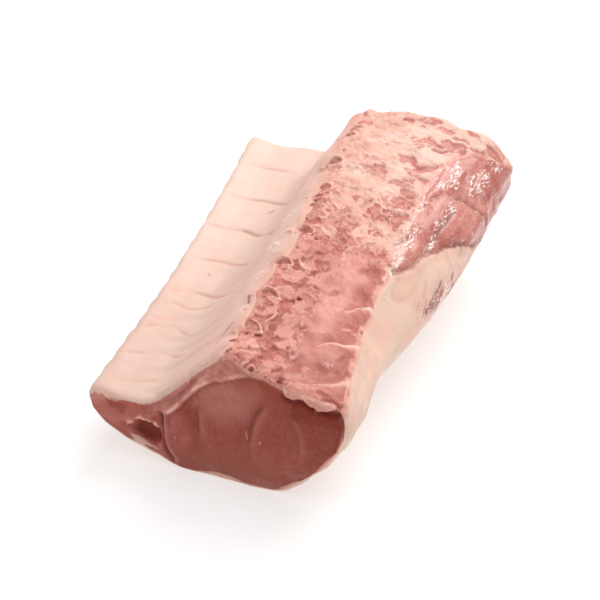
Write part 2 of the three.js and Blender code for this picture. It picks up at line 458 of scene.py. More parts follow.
def startLoin():
    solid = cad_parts["pork_loin"]
    loin = solid.copy()
    loin.data = solid.data.copy()
    loin.name = "loinMeat"
    loin.parent = None
    for key in [key for key in loin.keys() if key.startswith("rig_")]:
        del loin[key]
    bpy.context.scene.collection.objects.link(loin)
    editAll(loin, bpy.ops.mesh.remove_doubles, threshold=0.01 * mm)
    cutFaces(loin, np.ones(len(loin.data.polygons), bool), 1)
    cutFaces(loin, chooseDetail(loin)[0], meshDetail["fineCuts"])
    sides = np.zeros(len(loin.data.polygons), int)
    loin.data.polygons.foreach_get("loop_total", sides)
    cutFaces(loin, chooseDetail(loin)[1] & (sides == 3), meshDetail["mediumCuts"])
    editAll(loin, bpy.ops.mesh.quads_convert_to_tris, quad_method="BEAUTY", ngon_method="BEAUTY")
    selectOnly(loin)
    points = vectors(loin.data.vertices, "co") / mm
    around = skinPlace(points)[0]
    along = np.abs(points[:, 1])
    fine = ramp(around, at["slopeHigh"], at["ridge"]) - ramp(around, at["fatEdge"], at["sideBulge"])
    fine = np.where(along > halfLong, meshDetail["faceShare"], fine)
    smooth(loin, meshDetail["fineRounds"], 0.5, fine)
    smooth(loin, meshDetail["coarseRounds"], 0.5, 1 - fine)
    slope = between(around, at["sheetFoot"], at["slopeLow"], at["slopeHigh"] + 0.3, at["ridge"])
    smooth(loin, meshDetail["slopeRounds"], 0.5, slope * ramp(along, halfLong - 2, halfLong - 7))
    print("loin mesh cut,", len(loin.data.polygons), "faces")
    return loin


# Lines on the skin, as (y, x) in mm: the left and right edges of the sawn backbone.
sawnLeft = [(-134, -6), (-130, 2), (-122, 5), (-100, 3), (-81, 3), (-69, 0), (-37, 1), (-26, 4), (-15, 3),
            (2, 0), (16, -1), (35, -4), (50, -5), (70, -10), (105, -12), (134, -9)]
sawnRight = [(-134, 38), (-105, 34), (-85, 33), (-54, 32), (-37, 30), (0, 32), (33, 33), (76, 30), (134, 26)]

# Lines over the shoulder, as (x, y, z) in mm: where the back fat begins, and the bare muscle's left edge.
fatLine = [(79, -134, 68), (77, -129, 69), (73, -111, 73), (66.5, -83, 76), (64.5, -69, 77), (63, -53, 78),
           (61, -35, 82), (62, -14, 82), (64, -9, 81), (69, 4, 79), (72, 20, 77), (77, 35, 72), (81, 47, 67),
           (84, 62, 58), (86, 85, 52), (87, 134, 48)]
muscleLine = [(62, -14, 82), (59, 5, 87), (56, 29, 88), (52, 67, 92), (55, 89, 93), (60, 100, 92),
              (66, 108, 91), (74, 114, 88), (82, 121, 82), (87, 134, 70)]


def lineAt(y, line):
    return np.interp(y, *np.array(line, float).T)


def reachAt(y, line):
    points = np.array(line, float)
    return np.interp(y, points[:, 1], skinPlace(points)[1])


class Skin:  # the surface's points, how far each is raised, and how strongly each colour layer lies on it, painted shade and highlights among them
    layers = ("lean", "deep", "film", "flush", "rose", "bone", "shred", "fold", "blood", "pale", "grey",
              "wet", "glint")

    def __init__(self, piece):
        self.points = coords = vectors(piece.data.vertices, "co") / mm
        self.normals = vectors(piece.data.vertices, "normal")
        self.x, self.y, self.z = coords.T
        self.around, reach, self.depth = skinPlace(coords)
        x, y, around = self.x, self.y, self.around
        self.rise = np.zeros(len(coords))
        self.paint = {name: np.zeros(len(coords)) for name in self.layers}
        self.broad = broad = layered(coords, 14, 11)
        self.small = small = layered(coords, 5, 23)
        self.near, self.far = self.cutFace(-1), self.cutFace(1)
        self.side = side = 1 - np.maximum(self.near, self.far)
        self.leftAway = x - lineAt(y, sawnLeft) - 1.2 * broad
        rightAway = x - lineAt(y, sawnRight) - 5 * broad - 1.5 * small
        self.fatAway = reach - reachAt(y, fatLine) - 1.8 * broad - 0.9 * small
        self.muscleAway = reach - reachAt(y, muscleLine) - 2 * broad
        fat = np.where(around > at["leanTop"], ramp(self.fatAway, -2, 1.6), 0)
        fat = np.maximum(fat, (around > at["sideBulge"] + 1) * (around < at["tailHeel"] + 0.6))
        self.fat = fat * side
        top = ramp(around, at["slopeLow"], at["slopeLow"] + 0.3) * (around < at["soleRight"])
        self.top = top * side * (1 - fat)
        self.sheet = side * (around > 0.2) * (around < at["leanEdge"]) * ramp(self.leftAway, 1, -1)
        self.spine = self.top * ramp(self.leftAway, -1, 1) * ramp(rightAway, 4, -4)
        lean = self.top * ramp(rightAway, -4, 4)
        self.muscle = lean * ramp(self.muscleAway, -1.5, 1.5) * ramp(y, -18, -8)
        lean = lean * (1 - self.muscle)
        filmed = ramp(y + 4 * broad, -14, 24)
        self.lobes = lean * (1 - filmed)
        self.shreds = lean * filmed

    def cutFace(self, way):  # the near face (-1) or the far one (1), with the wall of the hollow in its tail
        along = way * self.y
        flat = ramp(along, halfLong - 1, halfLong + 0.5) * ramp(way * self.normals[:, 1], 0.45, 0.75)
        return np.maximum(flat, ramp(self.depth, 6, 8) * (along > halfLong - 12))

    def lay(self, mask, up=0, off="", share=1, **strengths):  # raises, takes colour layers off, puts others on
        self.rise = self.rise + up * mask
        for name in self.layers if off == "all" else off.split():
            self.paint[name] = self.paint[name] * (1 - mask * share)
        for name, strength in strengths.items():
            self.paint[name] = np.maximum(self.paint[name], strength * mask)

    def flatten(self, mask):
        self.rise = self.rise * (1 - mask)


# The solid's own relief, coarser than meat, so that most of it comes off before the finer relief goes on.
solidRelief = {
    "crowns": {"tail": (-108, 31.4), "spine": (-107, 34)},  # first rib and pitch, mm
    "swell": [(0.7, 0.5), (1, 0.8), (1.5, 1.35), (3, 1.4), (3.5, 1.15), (4.5, 1.2), (5, 0.45), (5.5, 0)],
    "boss": 1.7,
    "pit": {"deep": 2.9, "place": 5.75, "long": 8, "wide": 0.6},
    "scallop": {"high": 2.6, "crest": 0.8, "offset": 0.4, "arch": 6, "upTo": 31},
}


def levelSolid(skin):
    around, y, side = skin.around, skin.y, skin.side
    (tailFirst, tailPitch), (first, pitch) = solidRelief["crowns"].values()
    across = np.clip((around - at["tailCrest"]) / (at["ridge"] - at["tailCrest"]), 0, 1)
    turn = (y - tailFirst - (first - tailFirst) * across) / (tailPitch + (pitch - tailPitch) * across)
    skin.lay(side * np.cos(2 * math.pi * turn), -np.interp(around, *zip(*solidRelief["swell"])))
    turn = (y - first) / pitch
    onSpine = between(around, at["ridge"] - 1, at["ridge"] - 0.2, at["leanEdge"], at["leanEdge"] + 0.8)
    skin.lay(side * onSpine * np.cos(2 * math.pi * turn), solidRelief["boss"])
    pit = solidRelief["pit"]
    fromPit = np.hypot((turn - np.round(turn)) * pitch / pit["long"], (around - pit["place"]) / pit["wide"])
    skin.lay(side * ramp(fromPit, 1, 0), pit["deep"])
    scallop = solidRelief["scallop"]
    turn = (y + scallop["arch"] * (around - at["leanTop"]) ** 2 - first) / pitch + scallop["offset"]
    climb = turn - np.floor(turn)
    lip = np.minimum(climb / scallop["crest"], (1 - climb) / (1 - scallop["crest"])) - 0.5
    onLean = between(around, at["leanEdge"] - 0.2, at["leanEdge"] + 0.2,
                     at["fatEdge"] - 0.2, at["fatEdge"] + 0.2)
    skin.lay(side * onLean * ramp(y, scallop["upTo"], 0) * lip, -scallop["high"])


ribSheet = {
    # the seams between the ribs, as points (x, y) from tail to backbone, with how deep and how dark each is
    "seams": [
        ([(-82, 101), (-66, 104), (-46, 102), (-20, 78)], 0.3, 0.35),
        ([(-80, 69), (-66, 72), (-46, 70), (-13, 34)], 0.5, 0.7),
        ([(-76, 36), (-66, 39), (-48, 38), (-11, 2)], 0.8, 1.0),
        ([(-73, 2), (-54, 10), (-28, -13), (-11, -32)], 0.5, 0.6),
        ([(-75, -34), (-54, -24), (-28, -43), (-13, -60)], 0.6, 0.8),
        ([(-71, -45), (-65, -40), (-57, -44), (-45, -40), (-29, -48)], 0.4, 0.5),
        ([(-76, -62), (-60, -54), (-42, -54)], 0.3, 0.4),
        ([(-75, -72), (-60, -59), (-34, -78)], 0.6, 0.8),
        ([(-77, -97), (-63, -88), (-45, -88), (-26, -106)], 0.5, 0.7),
        ([(-75, -121), (-61, -117), (-47, -112), (-30, -126)], 0.4, 0.6),
    ],
    "seamWidth": 1.5,
    "torn": [(-10.5, -127), (-11, -114), (-8.5, -104), (-5, -97), (-2.5, -86), (-3.5, -70)],
    # wet folds, where the shader paints highlights on their ridges and shade in their valleys
    "folds": [(-17, 17, 5, 7), (-12, -17, 5, 6), (-8, -48, 4, 5)],
    "nicks": [[(-46, 55), (-40, 56)], [(-59, -8), (-57, -7)]],
    "ribEnds": {"first": -108, "pitch": 31.4, "half": (6.5, 3.2), "place": -0.3, "placeLong": 9},
}


def shapeRibSheet(skin):
    x, y, around, sheet, small, broad = skin.x, skin.y, skin.around, skin.sheet, skin.small, skin.broad
    waver = 1.2 * noise(skin.points, (22, 40, 26), 31)
    skin.lay(sheet, film=1)
    low = ramp(around, at["slopeHigh"], at["slopeLow"] - 0.4)
    nearness = ramp(-y, -60, 70)
    fade = 0.45 + 0.55 * ramp(noise(skin.points, (20, 12, 24), 37), -0.4, 0.3)
    for path, depth, dark in ribSheet["seams"]:
        away, share = toPath(x, y + waver, path)
        ends = (0.4 + 0.6 * ramp(share, 0, 0.15)) * (1 - 0.9 * ramp(share, 0.55, 0.85)) * sheet
        # each seam is a shallow groove painted darker and pinker; the rib slope beyond it is painted greyer
        # and a strip before it pinker, as painted shade and light across each rib
        beyond = past(away, 6) * ends * low
        skin.lay(hill(away, ribSheet["seamWidth"]) * fade * ends, -0.8 * depth, grey=0.55 * dark, flush=0.4)
        skin.lay(beyond, -0.3 * depth, grey=0.3 * dark * (0.3 + 0.7 * nearness))
        skin.lay(past(-away, 3) * ends, flush=0.15 * dark)
    # the sheet painted greyer towards the near end, in faint bands across, as painted shade
    skin.lay(sheet * nearness * (0.6 + 0.6 * ramp(noise(skin.points, (60, 9, 60), 43), 0, 0.5)), grey=0.19)
    blotches = layered(skin.points, (26, 18, 26), 47, 2)
    skin.lay(sheet * ramp(blotches, -0.1, 0.6), flush=0.16)
    skin.lay(sheet * ramp(-blotches, -0.1, 0.6), grey=0.06)
    slope = ramp(around, at["sheetFoot"] + 0.1, at["slopeLow"]) * sheet
    skin.lay(slope * (0.7 + 0.3 * broad), flush=0.45, grey=0.15)
    skin.lay(hill(skin.leftAway + 1, 9) * sheet * (0.8 + 0.2 * broad), flush=0.75)
    skin.lay(slope * ramp(y, 85, 115), 0, "grey", 0.8, flush=0.75)
    skin.lay(ramp(-y, 40, 120) * ramp(around, at["sheetFoot"], at["slopeHigh"]) * sheet, flush=0.4)
    # the torn slit is sunk and painted dark, and the sheet on one side of it greyer, as painted shade
    away = toPath(x + 0.6 * small, y, ribSheet["torn"])[0]  # a torn edge beside the backbone
    torn = ramp(noise(skin.points, (20, 5, 20), 45), 0, 0.25) * sheet
    skin.lay(ramp(np.abs(away + 0.5 * small), 1, 0.1) * torn, -1.2, grey=0.85, blood=0.25)
    skin.lay(hill(away + 2.4, 1.6) * torn, 0.5)
    skin.lay(past(-away, 3) * torn, grey=0.25, flush=0.6)
    # the folds' ridges are painted as highlights and their valleys as shade
    for spot in ribSheet["folds"]:
        skin.lay(blot(x, y, spot, 0.2 * small, 0.5, 1) * sheet, fold=1)
    for path in ribSheet["nicks"]:
        away, share = toPath(x, y, path)
        skin.lay(hill(away, 0.9) * between(share, 0, 0.2, 0.8, 1) * sheet, grey=0.7)
    skin.lay(sheet * (1 - 0.7 * slope), 0.35 * layered(skin.points, (22, 30, 22), 39))
    # greyer still low down towards the near end, as painted shade
    skin.lay(sheet * nearness * ramp(around, at["sheetFoot"] + 0.5, at["sheetLow"]), grey=0.2)

    # the sawn ends of the ribs along the tail's edge
    ends = ribSheet["ribEnds"]
    turn = (y - ends["first"] + 3 * broad) / ends["pitch"]
    offset = (turn - np.round(turn)) * ends["pitch"]
    place = np.where(around > outlineSize / 2, around - outlineSize, around)
    edge = between(place, -1, -0.7, 0.15, 0.5) * skin.side
    spot = (0, 0, *ends["half"])
    inside = fromSpot(offset, (place - ends["place"]) * ends["placeLong"], spot) + 0.25 * broad
    bone = ramp(inside, 1.3, 0.9) * edge
    core = ramp(inside, 0.8, 0.3) * edge
    skin.lay(edge, 0.6 * bone - 0.4 * core + 0.5 * small, "film flush")
    skin.lay(edge * (1 - bone), lean=0.9, deep=0.25, flush=0.6, shred=0.6)
    skin.lay(bone, flush=0.5, pale=0.3)
    skin.lay(core, lean=0.6, grey=0.25, bone=1)
    print("rib sheet shaped")


backbone = {
    # sawn rib joints, one for each rib: middle (x, y), then half long, half wide and turn of them all
    "joints": [(8, -101), (6, -70), (3, -37), (3, -5), (5, 12), (-1, 39), (-5, 67), (-8, 99)],
    "jointOval": (5, 3.4, -15),
    # dark marrow holes: x, y, radius
    "holes": [(7, -107, 1.4), (13, -106, 1.6), (31, -92, 1.6), (16, -75, 1.8), (19, -66, 1.3), (22, -63, 1.7),
              (11, -40, 1.8), (5, -45, 1.4), (31, -82, 1.6), (30, -103, 1.2), (27, -49, 1.4), (12, -10, 1.3),
              (9, 18, 1.3), (3, 32, 1.2), (0, 60, 1.2), (-5, 80, 1.2), (24, -6, 1.1), (-2, 25, 1.2),
              (-3, 90, 1.1)],
    "holeDepth": 1.3,
    # pale ridges of bone and gristle
    "ridges": [
        [(-5, -132), (3, -130), (7, -122)], [(3, -100), (5, -93), (6, -81)],
        [(0, -69), (5, -65), (12, -67), (17, -71)],
        [(6, -30), (11, -33), (14, -37), (22, -32), (28, -25)], [(3, -2), (8, 2), (14, 0), (21, -4)],
        [(4, 22), (10, 24), (16, 20)], [(0, 44), (6, 47), (13, 44), (20, 47)], [(-4, 72), (3, 76), (10, 74)],
        [(30, -114), (33, -108), (38, -104)], [(12, -96), (17, -90), (18, -82)],
        [(9, -118), (17, -116), (22, -110)], [(20, -100), (26, -97)], [(8, -56), (13, -52), (20, -52)],
        [(24, -72), (30, -70), (36, -72)],
    ],
    "reds": [(-7, 67, 3, 1.6), (-3, 39, 3, 2), (-1, 30, 3, 2), (-2, 20, 3, 2), (5, 11, 3, 2),
             (4, -118, 4, 2.4), (25, -49, 4, 2), (30, -48, 3, 2), (20, -126, 5, 3), (33, -122, 4, 3),
             (12, -128, 5, 2.5)],
    "strokeTurn": 35,  # degrees that the saw's strokes lean from the loin's length
}


def alongStrokes(x, y, z):
    return np.stack([*turnedBy(x, y, -backbone["strokeTurn"]), z], 1)


def shapeBackbone(skin):
    x, y, spine, top, small, broad = skin.x, skin.y, skin.spine, skin.top, skin.small, skin.broad
    nearHalf = 1 - 0.8 * ramp(y + 0.5 * (x - 10), -40, 75)
    turned = alongStrokes(x, y, skin.z)
    bent = turned + 2.6 * np.stack([noise(turned, 7, 51 + axis) for axis in range(3)], 1)
    edge, tone = cells(bent, (6, 10, 8), 61)
    rough = layered(bent, (4, 7, 5), 83)
    crest = ramp(edge, 0.2, 0.02) * ramp(small, -0.5, 0.1)
    relief = (0.6 + 0.7 * nearHalf) * (tone - 0.6) + (0.4 + 0.45 * nearHalf) * (rough + crest)
    skin.lay(spine, relief, lean=0.15 + 0.75 * nearHalf, flush=0.65, bone=0.3 + 0.3 * nearHalf, shred=0.4)
    # the higher cells painted rosier and the lower ones darker, as painted light and shade on the relief
    skin.lay(spine * ramp(tone + 0.3 * broad, 0.3, 0.7) * nearHalf, rose=0.75)
    skin.lay(spine * ramp(tone, 0.35, 0.1) * (0.3 + 0.7 * nearHalf), deep=0.26, grey=0.12)
    skin.lay(spine * ramp(-rough, 0.2, 0.55) * nearHalf, 0, "rose", deep=0.4)
    skin.lay(spine * crest * ramp(rough + broad, -0.5, 0.1), pale=0.2 + 0.2 * nearHalf)
    for spot in backbone["reds"]:
        red = blot(x, y, (*spot, 30), 0.4 * small, 0.4, 1.2) * top
        skin.lay(red, 0, "rose pale", 0.7, lean=1, deep=0.4, blood=0.2)
    for middle in backbone["joints"]:
        spot = (*middle, *backbone["jointOval"])
        inside = fromSpot(x + 1.5 * broad, y + 1.2 * broad, spot) + 0.15 * small
        # the raised rim is pale bone, painted on one side only as painted highlight
        rim = hill(inside - 1.12, 0.2) * top * ramp(x - middle[0] + (y - middle[1]) * 0.5, -2, 1)
        disc = ramp(inside, 1.05, 0.75) * top
        skin.flatten(0.7 * disc)
        skin.lay(disc, -0.7, "all", flush=1, grey=0.3, lean=0.55)
        skin.lay(rim, 1.1, "grey deep blood", pale=0.75)
    for hx, hy, radius in backbone["holes"]:
        spot = (hx, hy, radius * 1.5, radius * 0.7, 40)
        hole = blot(x + 0.9 * broad, y + 0.9 * small, spot, 0.4 * small, 0.2, 1.2) * top
        skin.lay(hole, -backbone["holeDepth"], "pale grey rose", blood=0.6, lean=1, deep=0.8)
    for path in backbone["ridges"]:
        away, share = toPath(x + 1.2 * broad + 0.8 * small, y + 1.4 * small, path)
        ends = between(share, 0, 0.2, 0.8, 1) * top
        ridge = hill(away + 0.5 * small, 0.75 + 0.5 * ramp(broad, -0.5, 0.5)) * ends
        skin.flatten(0.3 * hill(away, 2) * ends)
        skin.lay(ridge * ramp(small + broad, -0.6, 0.2), 0.9, "blood grey deep", pale=0.62)
        skin.lay(hill(away + 2.2, 1.1) * top * ramp(small, -0.4, 0.2), -0.5)
        # one side of each ridge painted darker, as painted shade
        skin.lay((away < 0) * hill(away + 2, 1.2) * ends, deep=0.3)
    print("backbone shaped")


leanLobes = {
    # edges where one lobe of lean drops on to the next, nearer one, with how strong each is
    "edges": [
        ([(40, -99), (42, -93), (46, -86), (53, -84), (59, -83), (66, -77)], 1),
        ([(43, -58), (49, -56), (53, -51), (59, -48), (63, -42)], 0.9),
        ([(36, -62), (39, -58), (43, -56)], 0.5),
        ([(36, -14), (43, -10), (50, -6), (57, -11)], 0.6),
        ([(38, -127), (46, -125), (53, -122), (61, -117), (68, -110)], 0.7),
    ],
    "drop": 1.6,
    "hollows": [(54, -41, 9, 6, 20), (58, -66, 10, 4, 60), (62, -97, 8, 4, 70), (52, -110, 9, 5, 20),
                (48, -20, 8, 4, 10), (36, -45, 6, 3, 40)],
    "bits": [(54, -71, 4, 1.6), (59, -73, 3, 1.4), (63, -74, 3, 1.4), (42, -80, 3, 2), (45, -112, 4, 3),
             (39, -57, 5, 3), (38, -124, 4, 3), (61, -119, 4, 3)],
    # painted highlights: spots of white glints
    "glints": [(63, -28, 2.5, 12), (60, -49, 6, 2), (60, -10, 2.5, 8), (55, -104, 4, 2)],
}


def shapeLean(skin):
    x, y, lobes, small, broad = skin.x, skin.y, skin.lobes, skin.small, skin.broad
    lumps = layered(skin.points, (16, 22, 20), 89, 2)
    skin.lay(lobes, 1.2 * lumps + 0.35 * small, lean=1, wet=0.1, shred=0.2, bone=0.12)
    # raised lumps painted rosier and low ones darker, as painted light and shade, also lighter towards the
    # backbone
    skin.lay(lobes * ramp(lumps - 0.03 * (x - 46), -0.4, 0.5), rose=0.7 - 0.3 * ramp(-y, 60, 110))
    skin.lay(lobes * ramp(-lumps + 0.025 * (x - 48), 0, 0.5), deep=0.14)
    skin.lay(lobes * ramp(-y, 50, 105), deep=0.28, grey=0.1)
    skin.lay(lobes * ramp(y, -62, -35), flush=0.16)
    besideFat = hill(skin.fatAway + 2, 3.5) * lobes * ramp(small + broad, -0.8, 0.2)
    skin.lay(besideFat, 0, "deep lean", 0.8, flush=0.8, rose=0.35)
    # hollows sunk and painted darker, as painted shade
    for spot in leanLobes["hollows"]:
        skin.lay(blot(x, y, spot, 0.3 * small, 0.1, 1.3) * lobes, -1.2, "rose", 0.8, deep=0.3)
    for path, strength in leanLobes["edges"]:
        away, share = toPath(x + 1.2 * broad + 0.5 * small, y + 1.2 * broad + 0.4 * small, path)
        ends = ramp(share, 0, 0.25) * strength * np.maximum(lobes, 0.6 * skin.spine * (x > 28))
        # at each edge one side is sunk and painted dark as painted shade, and the other side's rim pale and
        # rose as painted highlight
        skin.lay(step(away, -0.8, 0.8, 5) * ends, -leanLobes["drop"])
        skin.lay(hill(away + 4, 4) * ends, 0.8)
        skin.lay(step(away, -0.7, 0.5, 3) * ends, deep=0.5)
        skin.lay(past(-away, 5) * ramp(away, 0.2, -0.6) * ends, 0, "deep", rose=0.9)
        skin.lay(hill(away + 1.8, 1.4 + 1.4 * share) * ends, pale=0.35 + 0.4 * share)
    for spot in leanLobes["bits"]:
        skin.lay(blot(x, y, (*spot, 20), 0.5 * small, 0.3, 1.2) * lobes, 0.4, rose=0.7, pale=0.3)
    # glints painted as highlights
    for spot in leanLobes["glints"]:
        skin.lay(blot(x, y, spot, 0, 0.5, 1.1) * (lobes + 0.5 * skin.fat), glint=0.8, wet=1)
    print("lean shaped")


shoulderFilm = {
    # where the lean shows through the film: x, y, half length, half width, turn, how strongly
    "openings": [
        (36, 85, 9, 2.8, -5, 1), (48, 85, 8, 2.2, 60, 0.9), (22, 69, 7, 2.8, 5, 1), (37, 63, 10, 2.2, 8, 0.9),
        (45, 57, 5, 3.6, 0, 0.8), (46, 47, 5.5, 4, 10, 0.8), (26, 37, 8, 2.6, 35, 0.9), (46, 31, 9, 4, 40, 1),
        (27, 12, 7, 4, 20, 0.9), (42, 107, 6, 2.6, 10, 1), (49, 103, 7, 1.8, 45, 0.8),
        (46, 122, 5, 2.2, 20, 1), (24, 124, 7, 2.2, 30, 0.9), (39, 126, 4, 1.8, 10, 0.8),
        (-8, 116, 9, 3.4, 10, 1), (-9, 106, 6, 2.6, 5, 1), (-14, 126, 8, 3, 0, 0.8),
        (62, 127, 5, 1.8, -15, 0.8), (56, 109, 10, 3, -15, 1), (72, 113, 7, 3, -10, 1),
        (78, 121, 6, 3, -10, 1), (34, 24, 5, 2, 30, 0.8), (50, 72, 6, 2.2, -35, 0.8),
        (54, 12, 7, 2.4, 50, 0.7), (39, 2, 7, 2.2, 30, 0.7), (16, 16, 6, 2, 30, 0.6),
        (36, 44, 6, 1.8, -20, 0.7), (30, 97, 5, 1.4, 10, 0.5), (57, 92, 5, 2, 20, 0.7),
        (56, 118, 7, 1.8, 0, 0.8), (12, 66, 5, 1.6, 20, 0.5),
    ],
    "openingBend": (2.4, 1),
    "edgeWidth": 1.2,
    "cream": [(23, 103, 13, 6), (31, 52, 6, 5), (31, 77, 10, 5), (40, 96, 12, 4), (28, 114, 14, 4),
              (10, 60, 8, 8), (8, 20, 6, 6), (50, 97, 8, 4), (53, 60, 3, 12)],
    "tans": [(11, 30, 6, 3), (15, 1, 6, 3), (14, 48, 7, 4), (22, 95, 5, 1.6), (6, 84, 7, 5), (8, 98, 6, 5),
             (-2, 92, 5, 4)],
}


def shapeFilm(skin):
    small, broad = skin.small, skin.broad
    patched = np.maximum(skin.shreds, skin.spine * 0.8 * ramp(skin.y, 0, 50))
    wide, narrow = shoulderFilm["openingBend"]
    x, y = [flat + wide * noise(skin.points, 9, seed) + narrow * noise(skin.points, 4, seed + 1)
            for flat, seed in ((skin.x, 121), (skin.y, 123))]
    slanted = np.stack([x * 0.99 - y * 0.1, y * 0.99 + x * 0.1, skin.z], 1)
    lumps = layered(slanted, (11, 5, 10), 125)
    edge, tone = cells(slanted, (10, 5, 9), 127)
    tangled = ramp(skin.y + 5 * broad, -30, 0) * ramp(skin.y + 8 * broad, 80, 38) * ramp(skin.leftAway, 2, 14)
    tangled = tangled * skin.top * (1 - skin.muscle)
    skin.lay(patched * ramp(skin.x, 8, 22) * (1 - 0.4 * tangled), 0, "lean deep bone rose")
    skin.lay(patched, lumps + 0.4 * broad, flush=0.36, film=1, shred=0.55, lean=0.05)
    border, shade = cells(alongStrokes(x, y, skin.z), (4.5, 8, 8), 161)
    border, shade = ramp(border, 0.02, 0.22), shade + 0.35 * broad
    skin.lay(tangled * ramp(shade, 0.5, 0.8) * border, lean=0.8, rose=0.35)
    # the lowest cells also painted darker, as painted shade
    skin.lay(tangled * ramp(shade, 0.7, 0.95) * border, deep=0.15)
    skin.lay(tangled, 1.3 * (0.5 - shade) + 0.7 * (1 - border), flush=0.6)
    skin.lay(tangled * (1 - border) * ramp(small, -0.4, 0.2), pale=0.5)
    skin.lay(patched * ramp(lumps, 0, 0.5), 0, "flush", 0.7)
    skin.lay(patched, 0.6 * (tone - 0.5))
    for spot in shoulderFilm["cream"]:
        skin.lay(patched * blot(x, y, spot, 0, 0.3, 1.3), 0, "flush grey lean", 0.8)
    for spot in shoulderFilm["tans"]:
        tan = blot(x, y, (*spot, 10), 0, 0.5, 1.1) * skin.top
        skin.lay(tan, -0.4, "lean deep", grey=0.24, flush=0.7)
    opened, above, below = np.zeros((3, len(x)))
    for *spot, strength in shoulderFilm["openings"]:
        for found, way in ((opened, 0), (above, -1), (below, 1)):
            shift = way * shoulderFilm["edgeWidth"]
            np.maximum(found, strength * blot(x, y + shift, spot, 0.375 * small, 0.75, 1.375), out=found)
    scattered = ramp(tone + 0.25 * broad + 0.3 * ramp(-skin.y, -100, 0), 0.74, 0.9) * ramp(edge, 0, 0.12)
    bare = patched * np.maximum(opened, 0.6 * scattered * ramp(skin.x, -12, 12))
    skin.lay(patched, 0.3)
    skin.lay(bare, -1.1, "grey flush", lean=0.95, rose=0.4, wet=0.5)
    skin.lay(patched * ramp(opened, 0.6, 1) * ramp(small, 0, 0.5), blood=0.14)
    # strips beside the sunken openings, on their far and near sides, painted darker as painted shade, and
    # glints painted on the openings as highlights
    skin.lay(patched * np.maximum(above - opened, 0) * ramp(broad, -0.5, 0.1), grey=0.15, deep=0.2)
    skin.lay(patched * np.maximum(below - opened, 0) * ramp(-broad, -0.5, 0.1), deep=0.4)
    skin.lay(patched * ramp(opened, 0.7, 0.95) * ramp(lumps, 0, 0.4), wet=1, glint=0.4)
    print("film shaped")


bareMuscle = {
    "seams": [[(67, 67), (70, 73), (78, 78), (85, 82), (90, 88)], [(66, 10), (70, 34), (73, 62)]],
    "seamDepth": 1.3,
    "darkEnd": 0.32,
    # painted highlights: spots of white glints over the muscle
    "glints": [(64, 90, 6, 13), (75, 90, 7.5, 10.4), (78, 101, 6, 10.4), (80, 118, 6, 10.4),
               (69, 49, 4.5, 15.6), (71, 64, 4.5, 11.7), (70, 29, 3.75, 13), (56, 49, 4.5, 11.7),
               (60, 74, 6, 9.1), (60, 22, 3.75, 20.8), (60, 2, 3.75, 13), (66, 82, 6, 7.8)],
}


def shapeMuscle(skin):
    x, y, muscle, small, broad = skin.x, skin.y, skin.muscle, skin.small, skin.broad
    bundles = noise(skin.points, (8, 60, 8), 101)
    fibres = noise(skin.points, (2.6, 26, 2.6), 103)
    skin.lay(muscle, 0.9 * bundles + 0.2 * fibres + 0.6 * broad, "pale grey film flush deep shred bone rose",
             lean=1, wet=1, glint=0.25)
    skin.lay(muscle * (0.12 + 0.36 * bundles + 0.15 * fibres), deep=1)
    skin.lay(muscle * ramp(y, 50, 20), rose=0.35)
    skin.lay(muscle * ramp(x + 2 * broad, 73, 81) * ramp(y, 66, 84), deep=bareMuscle["darkEnd"])
    skin.lay(muscle * (0.25 - 0.5 * bundles + 0.3 * fibres), rose=1)
    silver = hill(skin.muscleAway + 1.5 + 2 * small, 3.5) * between(y, -30, -16, 28, 50)
    silver = silver * skin.top * (1 - skin.fat)
    skin.lay(silver, 0.5 * small, "lean deep rose grey", 0.75, film=1, wet=1, glint=0.5, flush=0.2)
    skin.lay(hill(skin.muscleAway - 0.5, 2.2) * skin.top * ramp(y, 10, 40), 0.4, rose=0.8)
    for path in bareMuscle["seams"]:
        away, share = toPath(x + small, y + broad + small, path)
        seam = hill(away, 1) * ramp(share, 0, 0.3) * np.maximum(muscle, hill(skin.fatAway, 4))
        # the groove painted dark and the muscle on one side darker, as painted shade
        skin.lay(seam, -bareMuscle["seamDepth"], grey=0.8, blood=0.35)
        skin.lay(past(away, 4) * ramp(share, 0, 0.3) * muscle, deep=0.4)
    # glints painted as highlights
    for spot in bareMuscle["glints"]:
        skin.lay(blot(x, y, spot, 0.3 * small, 0.2, 1.1) * muscle, 0, "deep", 0.4, glint=1, rose=0.4)
    print("bare muscle shaped")


backFat = {
    "streaksFrom": 29,  # mm below the upper edge of the fat to the middle of a wet, streaky band
    "streaksWide": 9,
    "slits": [[(49, 70), (48, 65), (42, 62)], [(-5, 57), (-9, 52)], [(18, 63), (12, 59)],
              [(33, 60), (27, 55)]],
}


